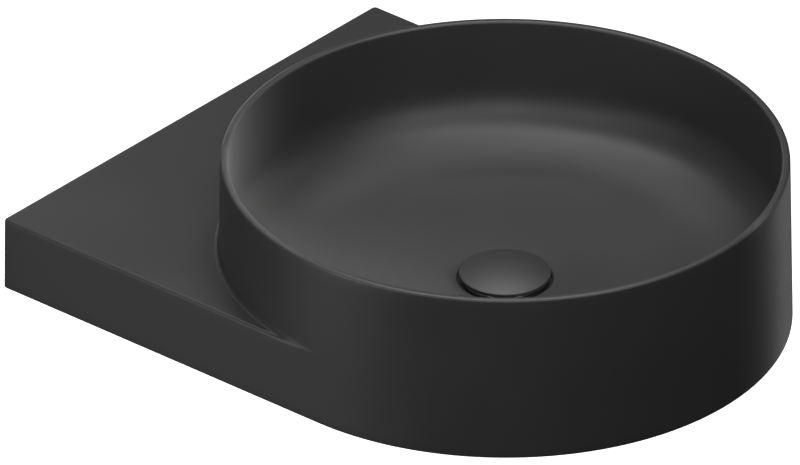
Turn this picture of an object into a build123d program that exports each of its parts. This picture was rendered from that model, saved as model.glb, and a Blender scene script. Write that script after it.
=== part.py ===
"""Wall-hung washbasin with its click-clack waste and its two wall fixings.

Millimetres, +Z up. The wall face is y = 0 and the basin stands out from it towards -Y. The origin lies
midway between the two wall studs, on the wall face. Heights named *_height count from the skirt's bottom
edge, and z values are in the part's own frame.
"""

import os
from math import atan, copysign, cos, degrees, radians, sin, sqrt, tan

from build123d import *

os.makedirs("parts", exist_ok=True)

# ---------------------------------------------------------------- driving dimensions
# basin, outside
basin_width = 450.0
basin_projection = 550.0
basin_height = 139.0
rim_outer_radius = 222.0
deck_height = 61.0
deck_corner_radius = 4.0
deck_edge_radius = 2.5
junction_radius = 3.5
bowl_proud = 0.02
rim_thickness = 6.5
rim_edge_radius = 2.2
foot_edge_radius = 1.2

# basin, inside of the bowl: upright wall, tight bend, easy bend, dished floor
bend_height = 82.0
bend_radius = 38.0
bend_end_slope = 25.0
easy_radius = 110.0
floor_start_slope = 4.5
recess_floor_height = 28.0
recess_radius = 36.8
recess_edge_radius = 2.4
recess_corner_radius = 1.0
outlet_radius = 23.0
outlet_seat_height = 16.0
outlet_boss_radius = 38.0
outlet_boss_flare = 7.0

# basin, hollow underside
shell_thickness = 10.0
skirt_thickness = 8.5
back_wall_thickness = 14.0
deck_slab_thickness = 12.0
cavity_corner_radius = 10.0
pad_radius = 20.0
pad_thickness = 3.0
fixing_hole_radius = 11.0

# all nuts
nut_face_share = 0.96
nut_bevel_angle = 30.0

# wall fixings
fixing_height = 33.0
fixing_spacing = 280.0
stud_radius = 5.0
anchor_radius = 6.0
stud_behind_wall = 21.0
stud_reach = 37.0
sleeve_bore_radius = 5.1
sleeve_body_radius = 10.8
sleeve_collar_radius = 15.0
sleeve_collar_thickness = 3.0
washer_hole_radius = 5.3
washer_radius = 10.5
washer_thickness = 2.0
stud_nut_flats = 17.0
stud_nut_thickness = 8.0
stud_cap_radius = 12.4
stud_cap_bore_radius = 10.6
stud_cap_wall = 1.6
stud_cap_length = 20.0
stud_cap_edge_round = 3.0

# waste, fixed parts
gasket_thickness = 1.5
gasket_inner_radius = 23.2
gasket_outer_radius = 32.5
flange_radius = 33.0
flange_thickness = 2.5
trim_round = 0.7
mouth_radius = 22.0
tail_radius = 20.955
tail_bore_radius = 18.0
tail_end_height = -51.0
relief_radius = 20.2
relief_top_height = -1.0
relief_bottom_height = -3.5
end_chamfer = 1.0
hub_radius = 10.5
hub_bore_radius = 7.55
hub_top_height = 6.0
hub_depth = 8.0
arm_count = 3
arm_width = 3.0
arm_depth = 6.0
under_gasket_radius = 29.0
under_gasket_thickness = 4.0
under_gasket_bore = 21.1
under_gasket_plug_radius = 22.7
under_gasket_plug_height = 4.0
under_gasket_taper = 10.0
slip_washer_thickness = 2.0
back_nut_flats = 54.0
back_nut_thickness = 9.0
back_nut_bore = 21.0

# waste, click cartridge and plug (drawn with the plug pressed down and latched)
lift = 8.0
cartridge_radius = 7.5
cartridge_bore = 5.0
cartridge_top_height = 11.5
cartridge_bottom_height = -26.0
cartridge_floor = 2.0
cartridge_collar_radius = 9.5
cartridge_collar_thickness = 2.0
cover_thickness = 2.5
cover_radius = 9.0
cover_skirt_depth = 3.4
cover_bore = 3.1
rib_count = 4
rib_width = 2.0
rib_inner_radius = 3.9
rib_bottom_height = 0.4
rib_top_height = 8.5
rotor_bottom_height = -12.0
rotor_thickness = 4.0
rotor_radius = 4.6
rotor_bore = 2.05
spline_radius = 4.7
spline_slot_width = 2.6
spline_slot_floor = 3.6
spline_length = 10.9
spigot_radius = 2.0
stem_radius = 3.0
spring_mean_radius = 3.6
spring_wire_radius = 0.45
spring_turns = 6
cap_radius = 36.0
cap_edge_height = 36.5
cap_edge_thickness = 3.0
cap_dome_rise = 4.5
cap_edge_round = 0.8
insert_radius = 7.0
press_fit = 0.05
insert_flange_radius = 12.0
insert_flange_thickness = 1.5
insert_depth = 4.5
seal_radius = 23.5
seal_lip_depth = 2.0
seal_lip_thickness = 2.0
seal_gap = 0.42
seal_face_gap = 0.3
lock_nut_flats = 10.0
lock_nut_thickness = 5.0
touch_gap = 0.1

# ---------------------------------------------------------------- derived places
bowl_base_radius = basin_width / 2
bowl_axis_y = bowl_base_radius - basin_projection
skirt_bottom = -fixing_height
rim_top = skirt_bottom + basin_height
deck_top = skirt_bottom + deck_height
draft = degrees(atan((bowl_base_radius - rim_outer_radius) / basin_height))
bowl_inner_radius = rim_outer_radius - rim_thickness
bend_centre_r = bowl_inner_radius - bend_radius
bend_centre_z = skirt_bottom + bend_height
recess_floor = skirt_bottom + recess_floor_height
outlet_seat = skirt_bottom + outlet_seat_height

bowl_plane = Plane(origin=(0, bowl_axis_y, 0), x_dir=(1, 0, 0), z_dir=(0, -1, 0))
bowl_axis = Axis((0, bowl_axis_y, 0), (0, 0, 1))


def bowl_level(z):
    """Horizontal plane at z with its origin on the bowl's axis."""
    return Plane(origin=(0, bowl_axis_y, z), x_dir=(1, 0, 0), z_dir=(0, 0, 1))


def wall_level(x, y):
    """Upright plane at distance y from the wall, facing the room, with its origin on a fixing axis."""
    return Plane(origin=(x, y, 0), x_dir=(1, 0, 0), z_dir=(0, -1, 0))


def on_circle(centre, radius, slope):
    """Point of a circle, below its centre, where the curve climbs outwards at the given slope."""
    return (centre[0] + radius * sin(radians(slope)), centre[1] - radius * cos(radians(slope)))


# The bowl's section is three arcs, each tangent to the next. All three centres stay put when the section
# is offset outwards by the shell's thickness.
bend_centre = (bend_centre_r, bend_centre_z)
bend_end = on_circle(bend_centre, bend_radius, bend_end_slope)
easy_centre = (
    bend_end[0] - easy_radius * sin(radians(bend_end_slope)),
    bend_end[1] + easy_radius * cos(radians(bend_end_slope)),
)
easy_end = on_circle(easy_centre, easy_radius, floor_start_slope)
floor_radius = easy_end[0] / sin(radians(floor_start_slope))
floor_centre = (0.0, easy_end[1] + floor_radius * cos(radians(floor_start_slope)))


def floor_z(r, offset):
    """Height of the dished floor, lowered by the offset, at radius r."""
    return floor_centre[1] - sqrt((floor_radius + offset) ** 2 - r**2)


def floor_slope(r, offset):
    """Slope of the dished floor at radius r, in degrees."""
    return degrees(atan(r / (floor_centre[1] - floor_z(r, offset))))


def bowl_arcs(offset, start_r):
    """Draw the bowl's section from radius start_r on the floor to the foot of the upright wall."""
    start = (start_r, floor_z(start_r, offset))
    stretches = (
        (floor_centre, floor_radius, floor_slope(start_r, offset), floor_start_slope),
        (easy_centre, easy_radius, floor_start_slope, bend_end_slope),
        (bend_centre, bend_radius, bend_end_slope, 90.0),
    )
    for centre, radius, low_slope, high_slope in stretches:
        middle = on_circle(centre, radius + offset, (low_slope + high_slope) / 2)
        end = on_circle(centre, radius + offset, high_slope)
        ThreePointArc(start, middle, end)
        start = end
    return start


def quarter_arc(start, end, centre):
    """Draw the short arc about the centre from start to end."""
    radius = sqrt((start[0] - centre[0]) ** 2 + (start[1] - centre[1]) ** 2)
    middle = (start[0] + end[0] - 2 * centre[0], start[1] + end[1] - 2 * centre[1])
    reach = radius / sqrt(middle[0] ** 2 + middle[1] ** 2)
    ThreePointArc(start, (centre[0] + middle[0] * reach, centre[1] + middle[1] * reach), end)


def hexagon_nut(level, flats, bore_radius, thickness):
    """Make a hexagon nut with bevelled corners, standing on the plane, or hanging below it if negative."""
    face_radius = nut_face_share * flats / 2
    corner_radius = flats / sqrt(3)
    bevel = copysign((corner_radius - face_radius) * tan(radians(nut_bevel_angle)), thickness)
    section = Plane(origin=level.origin, x_dir=level.x_dir, z_dir=-level.y_dir)
    with BuildPart() as nut:
        with BuildSketch(level):
            RegularPolygon(flats / 2, 6, major_radius=False)
        extrude(amount=thickness)
        with BuildSketch(section):
            with BuildLine():
                Polyline(
                    (bore_radius, 0),
                    (face_radius, 0),
                    (corner_radius, bevel),
                    (corner_radius, thickness - bevel),
                    (face_radius, thickness),
                    (bore_radius, thickness),
                    (bore_radius, 0),
                )
            make_face()
        revolve(axis=Axis(level.origin, level.z_dir), mode=Mode.INTERSECT)
    return nut


def slotted_rim(rim_radius):
    """Cut one slot for each guide rib into the open sketch's round outline."""
    slot_length = rim_radius + 1 - spline_slot_floor
    with PolarLocations(spline_slot_floor + slot_length / 2, rib_count):
        Rectangle(slot_length, spline_slot_width, mode=Mode.SUBTRACT)


# ---------------------------------------------------------------- hollow underside of the basin
# The bowl's own shell, from its wall down to the flat boss that the waste is clamped to.
with BuildPart() as bowl_shell:
    with BuildSketch(bowl_plane):
        with BuildLine():
            flare_r = outlet_boss_radius + outlet_boss_flare
            foot = bowl_arcs(shell_thickness, flare_r)
            Polyline(
                foot,
                (0.0, bend_centre_z),
                (0.0, outlet_seat),
                (outlet_boss_radius, outlet_seat),
                (flare_r, floor_z(flare_r, shell_thickness)),
            )
        make_face()
    revolve(axis=bowl_axis)

# The hollow: the inset outline up to the deck slab, less that shell.
with BuildPart() as cavity:
    with BuildSketch(Plane.XY.offset(skirt_bottom - 1)):
        with Locations((0, bowl_axis_y)):
            Circle(bowl_base_radius - skirt_thickness)
        with Locations((0, (bowl_axis_y - back_wall_thickness) / 2)):
            Rectangle(basin_width - 2 * skirt_thickness, -bowl_axis_y - back_wall_thickness)
    extrude(amount=deck_height - deck_slab_thickness + 1)
    inner_corners = [edge for edge in cavity.edges().filter_by(Axis.Z) if edge.center().Y > bowl_axis_y / 2]
    fillet(inner_corners, cavity_corner_radius)
    add(bowl_shell.part, mode=Mode.SUBTRACT)

# ---------------------------------------------------------------- basin
with BuildPart() as basin:
    # Lower block: the bowl's circle in front and the straight deck behind, with the same draft all round.
    with BuildSketch(Plane.XY.offset(skirt_bottom)):
        with Locations((0, bowl_axis_y)):
            Circle(bowl_base_radius)
        with Locations((0, bowl_axis_y / 2 + deck_height / 2)):
            Rectangle(basin_width, -bowl_axis_y + deck_height)
    extrude(amount=deck_height, taper=draft)
    split(bisect_by=Plane.XZ, keep=Keep.TOP)
    upright = [
        edge
        for edge in basin.edges()
        if abs(edge.center().Y) < 1 and abs(edge.center().Z - (skirt_bottom + deck_top) / 2) < 1
    ]
    fillet(upright, deck_corner_radius)
    fillet(basin.faces().sort_by(Axis.Z)[-1].edges(), deck_edge_radius)

    # Bowl: a slightly conical wall over the full height, a hair proud of the block's rounded front.
    with BuildSketch(bowl_level(skirt_bottom)):
        Circle(bowl_base_radius + bowl_proud)
    extrude(amount=basin_height, taper=draft)
    junction = [
        edge
        for edge in basin.edges().filter_by(GeomType.CIRCLE)
        if abs(edge.center().Z - deck_top) < 0.1 and edge.length > basin_width
    ]
    fillet(junction, junction_radius)

    # Inside of the bowl, down to the recess round the outlet.
    with BuildSketch(bowl_plane):
        with BuildLine():
            corner_centre = (recess_radius - recess_corner_radius, recess_floor + recess_corner_radius)
            edge_r = recess_radius + recess_edge_radius
            edge_centre = (edge_r, floor_z(edge_r, 0) - recess_edge_radius)
            corner_start = (corner_centre[0], recess_floor)
            corner_end = (recess_radius, corner_centre[1])
            edge_start = (recess_radius, edge_centre[1])
            quarter_arc(corner_start, corner_end, corner_centre)
            Line(corner_end, edge_start)
            quarter_arc(edge_start, (edge_r, floor_z(edge_r, 0)), edge_centre)
            foot = bowl_arcs(0, edge_r)
            Polyline(
                foot,
                (bowl_inner_radius, rim_top + 1),
                (0.0, rim_top + 1),
                (0.0, recess_floor),
                corner_start,
            )
        make_face()
    revolve(axis=bowl_axis, mode=Mode.SUBTRACT)
    rim_face = basin.faces().filter_by(GeomType.PLANE).sort_by(Axis.Z)[-1]
    fillet(rim_face.edges(), rim_edge_radius)

    # Outlet.
    with BuildSketch(bowl_level(outlet_seat)):
        Circle(outlet_radius)
    extrude(amount=basin_height, mode=Mode.SUBTRACT)

    # Hollow underside.
    add(cavity.part, mode=Mode.SUBTRACT)

    # Pads on the inner face of the back wall, and the fixing holes through them.
    for side in (-1, 1):
        with BuildSketch(wall_level(side * fixing_spacing / 2, -back_wall_thickness)):
            Circle(pad_radius)
        extrude(amount=pad_thickness)
        with BuildSketch(wall_level(side * fixing_spacing / 2, 0)):
            Circle(fixing_hole_radius)
        extrude(amount=back_wall_thickness + pad_thickness, mode=Mode.SUBTRACT)

    # Soft edge where the skirt ends.
    fillet(basin.faces().sort_by(Axis.Z)[0].edges(), foot_edge_radius)
basin.part.label = "basin"
export_step(basin.part, "parts/basin.step")


# ---------------------------------------------------------------- wall fixings, left and right
pad_face = -(back_wall_thickness + pad_thickness)
collar_face = pad_face - sleeve_collar_thickness
washer_face = collar_face - washer_thickness

for side, side_name in ((-1, "left"), (1, "right")):
    fixing_x = side * fixing_spacing / 2

    # Hanger bolt: a thicker end for the anchor in the wall, and a stud that reaches through the ceramic.
    with BuildPart() as wall_stud:
        with BuildSketch(wall_level(fixing_x, 0)):
            Circle(stud_radius)
        extrude(amount=stud_reach)
        with BuildSketch(wall_level(fixing_x, stud_behind_wall)):
            Circle(anchor_radius)
        extrude(amount=stud_behind_wall)
        stud_ends = wall_stud.edges().filter_by(GeomType.CIRCLE).group_by(Axis.Y)
        chamfer(stud_ends[0] + stud_ends[-1], end_chamfer)
    wall_stud.part.label = f"wall_stud_{side_name}"
    export_step(wall_stud.part, f"parts/wall_stud_{side_name}.step")

    # Sleeve that keeps the stud off the ceramic, with its collar on the pad.
    with BuildPart() as stud_sleeve:
        with BuildSketch(wall_level(fixing_x, -end_chamfer)):
            Circle(sleeve_body_radius)
        extrude(amount=-pad_face - end_chamfer)
        with BuildSketch(wall_level(fixing_x, pad_face)):
            Circle(sleeve_collar_radius)
        extrude(amount=sleeve_collar_thickness)
        fillet(stud_sleeve.edges().group_by(Axis.Y)[0], trim_round)
        with BuildSketch(wall_level(fixing_x, 0)):
            Circle(sleeve_bore_radius)
        extrude(amount=-collar_face, mode=Mode.SUBTRACT)
    stud_sleeve.part.label = f"stud_sleeve_{side_name}"
    export_step(stud_sleeve.part, f"parts/stud_sleeve_{side_name}.step")

    with BuildPart() as stud_washer:
        with BuildSketch(wall_level(fixing_x, collar_face)):
            Circle(washer_radius)
            Circle(washer_hole_radius, mode=Mode.SUBTRACT)
        extrude(amount=washer_thickness)
    stud_washer.part.label = f"stud_washer_{side_name}"
    export_step(stud_washer.part, f"parts/stud_washer_{side_name}.step")

    stud_nut = hexagon_nut(wall_level(fixing_x, washer_face), stud_nut_flats, stud_radius, stud_nut_thickness)
    stud_nut.part.label = f"stud_nut_{side_name}"
    export_step(stud_nut.part, f"parts/stud_nut_{side_name}.step")

    # Cover cap over nut and stud end, clipped round the washer.
    with BuildPart() as stud_cap:
        with BuildSketch(wall_level(fixing_x, collar_face)):
            Circle(stud_cap_radius)
        extrude(amount=stud_cap_length)
        fillet(stud_cap.edges().group_by(Axis.Y)[0], stud_cap_edge_round)
        with BuildSketch(wall_level(fixing_x, collar_face)):
            Circle(stud_cap_bore_radius)
        extrude(amount=stud_cap_length - stud_cap_wall, mode=Mode.SUBTRACT)
    stud_cap.part.label = f"stud_cap_{side_name}"
    export_step(stud_cap.part, f"parts/stud_cap_{side_name}.step")

# ---------------------------------------------------------------- waste, fixed parts
flange_bottom = recess_floor + gasket_thickness
flange_top = flange_bottom + flange_thickness
tail_end = skirt_bottom + tail_end_height
relief_top = skirt_bottom + relief_top_height
relief_bottom = skirt_bottom + relief_bottom_height
hub_top = skirt_bottom + hub_top_height

with BuildPart() as flange_gasket:
    with BuildSketch(bowl_level(recess_floor)):
        Circle(gasket_outer_radius)
        Circle(gasket_inner_radius, mode=Mode.SUBTRACT)
    extrude(amount=gasket_thickness)
flange_gasket.part.label = "flange_gasket"
export_step(flange_gasket.part, "parts/flange_gasket.step")

with BuildPart() as waste_body:
    # Flange, conical mouth and tail tube; a groove parts the back nut's thread from the trap nut's.
    with BuildSketch(bowl_plane):
        with BuildLine():
            Polyline(
                (mouth_radius, flange_top),
                (flange_radius, flange_top),
                (flange_radius, flange_bottom),
                (tail_radius, flange_bottom),
                (tail_radius, relief_top),
                (relief_radius, relief_top),
                (relief_radius, relief_bottom),
                (tail_radius, relief_bottom),
                (tail_radius, tail_end + end_chamfer),
                (tail_radius - end_chamfer, tail_end),
                (tail_bore_radius, tail_end),
                (tail_bore_radius, flange_top - mouth_radius + tail_bore_radius),
                (mouth_radius, flange_top),
            )
        make_face()
    revolve(axis=bowl_axis)
    flange_rim = [
        edge
        for edge in waste_body.edges().filter_by(GeomType.CIRCLE)
        if abs(edge.radius - flange_radius) < 0.01 and edge.center().Z > flange_bottom + 1
    ]
    fillet(flange_rim, trim_round)

    # Cross bridge: a hub for the cartridge on three arms.
    with BuildSketch(bowl_level(hub_top - arm_depth)):
        with PolarLocations((hub_radius + tail_bore_radius) / 2, arm_count):
            Rectangle(tail_bore_radius - hub_radius + 2, arm_width)
    extrude(amount=arm_depth)
    with BuildSketch(bowl_level(hub_top - hub_depth)):
        Circle(hub_radius)
    extrude(amount=hub_depth)
    with BuildSketch(bowl_level(hub_top - hub_depth)):
        Circle(hub_bore_radius)
    extrude(amount=hub_depth, mode=Mode.SUBTRACT)
waste_body.part.label = "waste_body"
export_step(waste_body.part, "parts/waste_body.step")

# Rubber ring below the ceramic, with a short plug that centres the tail in the outlet.
with BuildPart() as under_gasket:
    with BuildSketch(bowl_level(outlet_seat - under_gasket_thickness)):
        Circle(under_gasket_radius)
    extrude(amount=under_gasket_thickness)
    with BuildSketch(bowl_level(outlet_seat)):
        Circle(under_gasket_plug_radius)
    extrude(amount=under_gasket_plug_height, taper=under_gasket_taper)
    with BuildSketch(bowl_level(outlet_seat - under_gasket_thickness)):
        Circle(under_gasket_bore)
    extrude(amount=under_gasket_thickness + under_gasket_plug_height, mode=Mode.SUBTRACT)
under_gasket.part.label = "under_gasket"
export_step(under_gasket.part, "parts/under_gasket.step")

slip_washer_bottom = outlet_seat - under_gasket_thickness - slip_washer_thickness
with BuildPart() as slip_washer:
    with BuildSketch(bowl_level(slip_washer_bottom)):
        Circle(under_gasket_radius)
        Circle(under_gasket_bore, mode=Mode.SUBTRACT)
    extrude(amount=slip_washer_thickness)
slip_washer.part.label = "slip_washer"
export_step(slip_washer.part, "parts/slip_washer.step")

back_nut = hexagon_nut(bowl_level(slip_washer_bottom), back_nut_flats, back_nut_bore, -back_nut_thickness)
back_nut.part.label = "back_nut"
export_step(back_nut.part, "parts/back_nut.step")

# ---------------------------------------------------------------- waste, click cartridge
cartridge_top = skirt_bottom + cartridge_top_height
cartridge_bottom = skirt_bottom + cartridge_bottom_height
spring_foot = cartridge_bottom + cartridge_floor
rotor_bottom = skirt_bottom + rotor_bottom_height
rotor_top = rotor_bottom + rotor_thickness
rib_bottom = skirt_bottom + rib_bottom_height
rib_top = skirt_bottom + rib_top_height

with BuildPart() as cartridge_housing:
    with BuildSketch(bowl_level(cartridge_bottom)):
        Circle(cartridge_radius)
    extrude(amount=cartridge_top - cartridge_bottom)
    with BuildSketch(bowl_level(hub_top)):
        Circle(cartridge_collar_radius)
    extrude(amount=cartridge_collar_thickness)
    with BuildSketch(bowl_level(spring_foot)):
        Circle(cartridge_bore)
    extrude(amount=cartridge_top - spring_foot, mode=Mode.SUBTRACT)
    # Guide ribs that keep the stem from turning.
    rib_length = cartridge_bore + touch_gap - rib_inner_radius
    with BuildSketch(bowl_level(rib_bottom)):
        with PolarLocations(rib_inner_radius + rib_length / 2, rib_count):
            Rectangle(rib_length, rib_width)
    extrude(amount=rib_top - rib_bottom)
cartridge_housing.part.label = "cartridge_housing"
export_step(cartridge_housing.part, "parts/cartridge_housing.step")

with BuildPart() as cartridge_cover:
    with BuildSketch(bowl_level(cartridge_top - cover_skirt_depth)):
        Circle(cover_radius)
    extrude(amount=cover_skirt_depth + cover_thickness)
    fillet(cartridge_cover.edges().group_by(Axis.Z)[-1], trim_round)
    with BuildSketch(bowl_level(cartridge_top - cover_skirt_depth)):
        Circle(cartridge_radius + press_fit)
    extrude(amount=cover_skirt_depth, mode=Mode.SUBTRACT)
    with BuildSketch(bowl_level(cartridge_top)):
        Circle(cover_bore)
    extrude(amount=cover_thickness, mode=Mode.SUBTRACT)
cartridge_cover.part.label = "cartridge_cover"
export_step(cartridge_cover.part, "parts/cartridge_cover.step")

# Cam ring, slotted so that it slides between the guide ribs once it has turned.
with BuildPart() as latch_rotor:
    with BuildSketch(bowl_level(rotor_bottom)):
        Circle(rotor_radius)
        slotted_rim(rotor_radius)
        Circle(rotor_bore, mode=Mode.SUBTRACT)
    extrude(amount=rotor_thickness)
latch_rotor.part.label = "latch_rotor"
export_step(latch_rotor.part, "parts/latch_rotor.step")

spring_length = rotor_bottom - spring_foot - touch_gap
helix_rise = spring_length - 2 * spring_wire_radius
with BuildPart() as latch_spring:
    with BuildLine(bowl_level(spring_foot + spring_wire_radius)):
        coil = Helix(pitch=helix_rise / spring_turns, height=helix_rise, radius=spring_mean_radius)
    with BuildSketch(Plane(origin=coil @ 0, z_dir=coil % 0)):
        Circle(spring_wire_radius)
    sweep(path=coil, is_frenet=True)
latch_spring.part.label = "latch_spring"
export_step(latch_spring.part, "parts/latch_spring.step")

# ---------------------------------------------------------------- waste, plug
cap_edge_top = skirt_bottom + cap_edge_height
cap_underside = cap_edge_top - cap_edge_thickness
insert_top = cap_underside + insert_depth
insert_bottom = cap_underside - insert_flange_thickness
stem_top = insert_top - touch_gap
spline_bottom = rotor_top + touch_gap

with BuildPart() as drain_cap:
    with BuildSketch(bowl_plane):
        with BuildLine():
            Polyline(
                (0.0, cap_edge_top + cap_dome_rise),
                (0.0, cap_underside),
                (cap_radius, cap_underside),
                (cap_radius, cap_edge_top),
            )
            dome_radius = (cap_radius**2 + cap_dome_rise**2) / (2 * cap_dome_rise)
            dome_centre_z = cap_edge_top + cap_dome_rise - dome_radius
            half_slope = degrees(atan(cap_radius / (cap_edge_top - dome_centre_z))) / 2
            dome_middle = (
                dome_radius * sin(radians(half_slope)),
                dome_centre_z + dome_radius * cos(radians(half_slope)),
            )
            ThreePointArc((cap_radius, cap_edge_top), dome_middle, (0.0, cap_edge_top + cap_dome_rise))
        make_face()
    revolve(axis=bowl_axis)
    cap_rims = [
        edge for edge in drain_cap.edges().filter_by(GeomType.CIRCLE) if abs(edge.radius - cap_radius) < 0.01
    ]
    fillet(cap_rims, cap_edge_round)
    with BuildSketch(bowl_level(cap_underside)):
        Circle(insert_radius + press_fit)
    extrude(amount=insert_depth + press_fit, mode=Mode.SUBTRACT)
drain_cap.part.label = "drain_cap"
export_step(drain_cap.part, "parts/drain_cap.step")

with BuildPart() as cap_insert:
    with BuildSketch(bowl_level(insert_bottom)):
        Circle(insert_flange_radius)
    extrude(amount=insert_flange_thickness)
    with BuildSketch(bowl_level(cap_underside)):
        Circle(insert_radius)
    extrude(amount=insert_depth)
    with BuildSketch(bowl_level(insert_bottom)):
        Circle(stem_radius)
    extrude(amount=stem_top - insert_bottom, mode=Mode.SUBTRACT)
cap_insert.part.label = "cap_insert"
export_step(cap_insert.part, "parts/cap_insert.step")

# Rubber ring under the cap, with a lip that enters the flange's conical mouth.
with BuildPart() as cap_seal:
    with BuildSketch(bowl_plane):
        with BuildLine():
            lip_top = flange_top + seal_face_gap
            lip_bottom = flange_top - seal_lip_depth
            lip_top_radius = mouth_radius - seal_gap + seal_face_gap
            lip_bottom_radius = mouth_radius - seal_gap - seal_lip_depth
            Polyline(
                (insert_flange_radius, cap_underside),
                (seal_radius, cap_underside),
                (seal_radius, lip_top),
                (lip_top_radius, lip_top),
                (lip_bottom_radius, lip_bottom),
                (lip_bottom_radius - seal_lip_thickness, lip_bottom),
                (lip_bottom_radius - seal_lip_thickness, insert_bottom),
                (insert_flange_radius, insert_bottom),
                (insert_flange_radius, cap_underside),
            )
        make_face()
    revolve(axis=bowl_axis)
cap_seal.part.label = "cap_seal"
export_step(cap_seal.part, "parts/cap_seal.step")

stem_lock_nut = hexagon_nut(bowl_level(insert_bottom), lock_nut_flats, stem_radius, -lock_nut_thickness)
stem_lock_nut.part.label = "stem_lock_nut"
export_step(stem_lock_nut.part, "parts/stem_lock_nut.step")

with BuildPart() as plunger_stem:
    with BuildSketch(bowl_level(rotor_bottom + spline_bottom - rotor_top)):
        Circle(spigot_radius)
    extrude(amount=rotor_thickness)
    with BuildSketch(bowl_level(spline_bottom)):
        Circle(spline_radius)
        slotted_rim(spline_radius)
    extrude(amount=spline_length)
    with BuildSketch(bowl_level(spline_bottom + spline_length)):
        Circle(stem_radius)
    extrude(amount=stem_top - spline_bottom - spline_length)
plunger_stem.part.label = "plunger_stem"
export_step(plunger_stem.part, "parts/plunger_stem.step")
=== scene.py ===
"""Looks of the wall-hung washbasin: every piece is a fine mesh on the CAD's own places, in metres."""

from math import acos, asin, cos, pi, radians, sin, sqrt, tan

import bmesh
import bpy
import numpy as np
from mathutils import Matrix, Vector


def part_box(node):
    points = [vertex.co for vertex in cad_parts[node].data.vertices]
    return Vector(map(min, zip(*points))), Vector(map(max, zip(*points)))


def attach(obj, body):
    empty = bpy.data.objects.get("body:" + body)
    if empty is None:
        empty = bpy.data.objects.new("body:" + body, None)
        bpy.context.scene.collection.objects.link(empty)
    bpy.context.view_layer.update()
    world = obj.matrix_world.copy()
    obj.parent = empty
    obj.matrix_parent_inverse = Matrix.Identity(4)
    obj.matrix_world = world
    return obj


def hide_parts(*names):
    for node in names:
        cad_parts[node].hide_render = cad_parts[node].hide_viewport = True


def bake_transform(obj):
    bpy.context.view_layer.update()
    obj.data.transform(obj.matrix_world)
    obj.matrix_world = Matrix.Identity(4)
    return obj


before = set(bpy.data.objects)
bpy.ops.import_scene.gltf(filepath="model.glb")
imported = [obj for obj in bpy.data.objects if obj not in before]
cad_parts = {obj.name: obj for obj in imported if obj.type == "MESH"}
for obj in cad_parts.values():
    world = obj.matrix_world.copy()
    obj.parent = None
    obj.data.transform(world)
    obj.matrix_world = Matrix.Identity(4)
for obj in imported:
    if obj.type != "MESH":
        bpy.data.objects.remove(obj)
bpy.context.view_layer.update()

MM = 0.001
TINY = 1e-6
NO_ZERO = 1e-9
SHARP_ANGLE = 32
scene = bpy.context.scene

# ---------------------------------------------------------------- places taken from the frame
basin_low, basin_high = (Vector(corner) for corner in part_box("basin"))
BASE_RADIUS = (basin_high.x - basin_low.x) / 2
AXIS_Y = basin_low.y + BASE_RADIUS
FOOT_Z = basin_low.z
RIM_Z = basin_high.z
BOWL = Matrix.Translation((0, AXIS_Y, 0))


def span(node):
    """Lowest and highest z of a CAD node."""
    low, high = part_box(node)
    return low[2], high[2]


def reach(node):
    """Nearest and farthest distance of a CAD node from the wall face, outwards from the wall."""
    low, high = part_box(node)
    return -high[1], -low[1]


def half_width(node):
    """Half the width of a CAD node along X."""
    low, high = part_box(node)
    return (high[0] - low[0]) / 2


def fixing(node):
    """Frame of a wall fixing: the third axis points from the wall into the room."""
    low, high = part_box(node)
    return Matrix(((1, 0, 0, (low[0] + high[0]) / 2), (0, 0, -1, 0), (0, 1, 0, 0), (0, 0, 0, 1)))


# ---------------------------------------------------------------- mesh helpers
class Shape:
    """Points and faces that become one piece."""

    def __init__(self):
        self.points = []
        self.faces = []

    def add(self, points, faces, place=None):
        start = len(self.points)
        for point in points:
            self.points.append(place @ Vector(point) if place else Vector(point))
        self.faces += [tuple(start + index for index in face) for face in faces]

    def to_object(self, name):
        """An object of its own, with its faces turned outwards."""
        mesh = bpy.data.meshes.new(name)
        mesh.from_pydata([tuple(p) for p in self.points], [], self.faces)
        mesh.validate()
        shape = bmesh.new()
        shape.from_mesh(mesh)
        bmesh.ops.recalc_face_normals(shape, faces=shape.faces)
        shape.to_mesh(mesh)
        shape.free()
        made = bpy.data.objects.new(name, mesh)
        scene.collection.objects.link(made)
        return made

    def piece(self, name, body, slot_name, nodes, sharp_angle=SHARP_ANGLE):
        """Make the piece: it stands for the CAD nodes, and rides on the body unless that is None."""
        made = self.to_object(name)
        smooth(made, sharp_angle)
        made.data.materials.append(finish(slot_name))
        if body:
            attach(made, body)
        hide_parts(*nodes)
        return made


def smooth(made, sharp_angle):
    """Smooth shading, with edges sharper than the angle kept crisp."""
    mesh = made.data
    mesh.polygons.foreach_set("use_smooth", [True] * len(mesh.polygons))
    mesh.set_sharp_from_angle(angle=radians(sharp_angle))
    mesh.update()


def run(start, end, steps):
    """Points of a straight stretch, both ends included."""
    return [tuple(a + (b - a) * i / steps for a, b in zip(start, end)) for i in range(steps + 1)]


def soft_loop(corners, steps=5):
    """Closed section with its corners rounded; a corner is (r, t) or (r, t, radius)."""
    points = []
    for index, corner in enumerate(corners):
        here = Vector(corner[:2])
        if len(corner) < 3 or corner[2] <= 0:
            points.append(tuple(here))
            continue
        before = (Vector(corners[index - 1][:2]) - here).normalized()
        after = (Vector(corners[(index + 1) % len(corners)][:2]) - here).normalized()
        half = before.angle(after) / 2
        middle = (before + after).normalized()
        centre = here + middle * (corner[2] / sin(half))
        first = here + before * (corner[2] / tan(half)) - centre
        last = here + after * (corner[2] / tan(half)) - centre
        turn = first.angle_signed(last)
        for step in range(steps + 1):
            a = -turn * step / steps
            points.append(
                (
                    centre.x + first.x * cos(a) - first.y * sin(a),
                    centre.y + first.x * sin(a) + first.y * cos(a),
                )
            )
    return points


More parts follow.
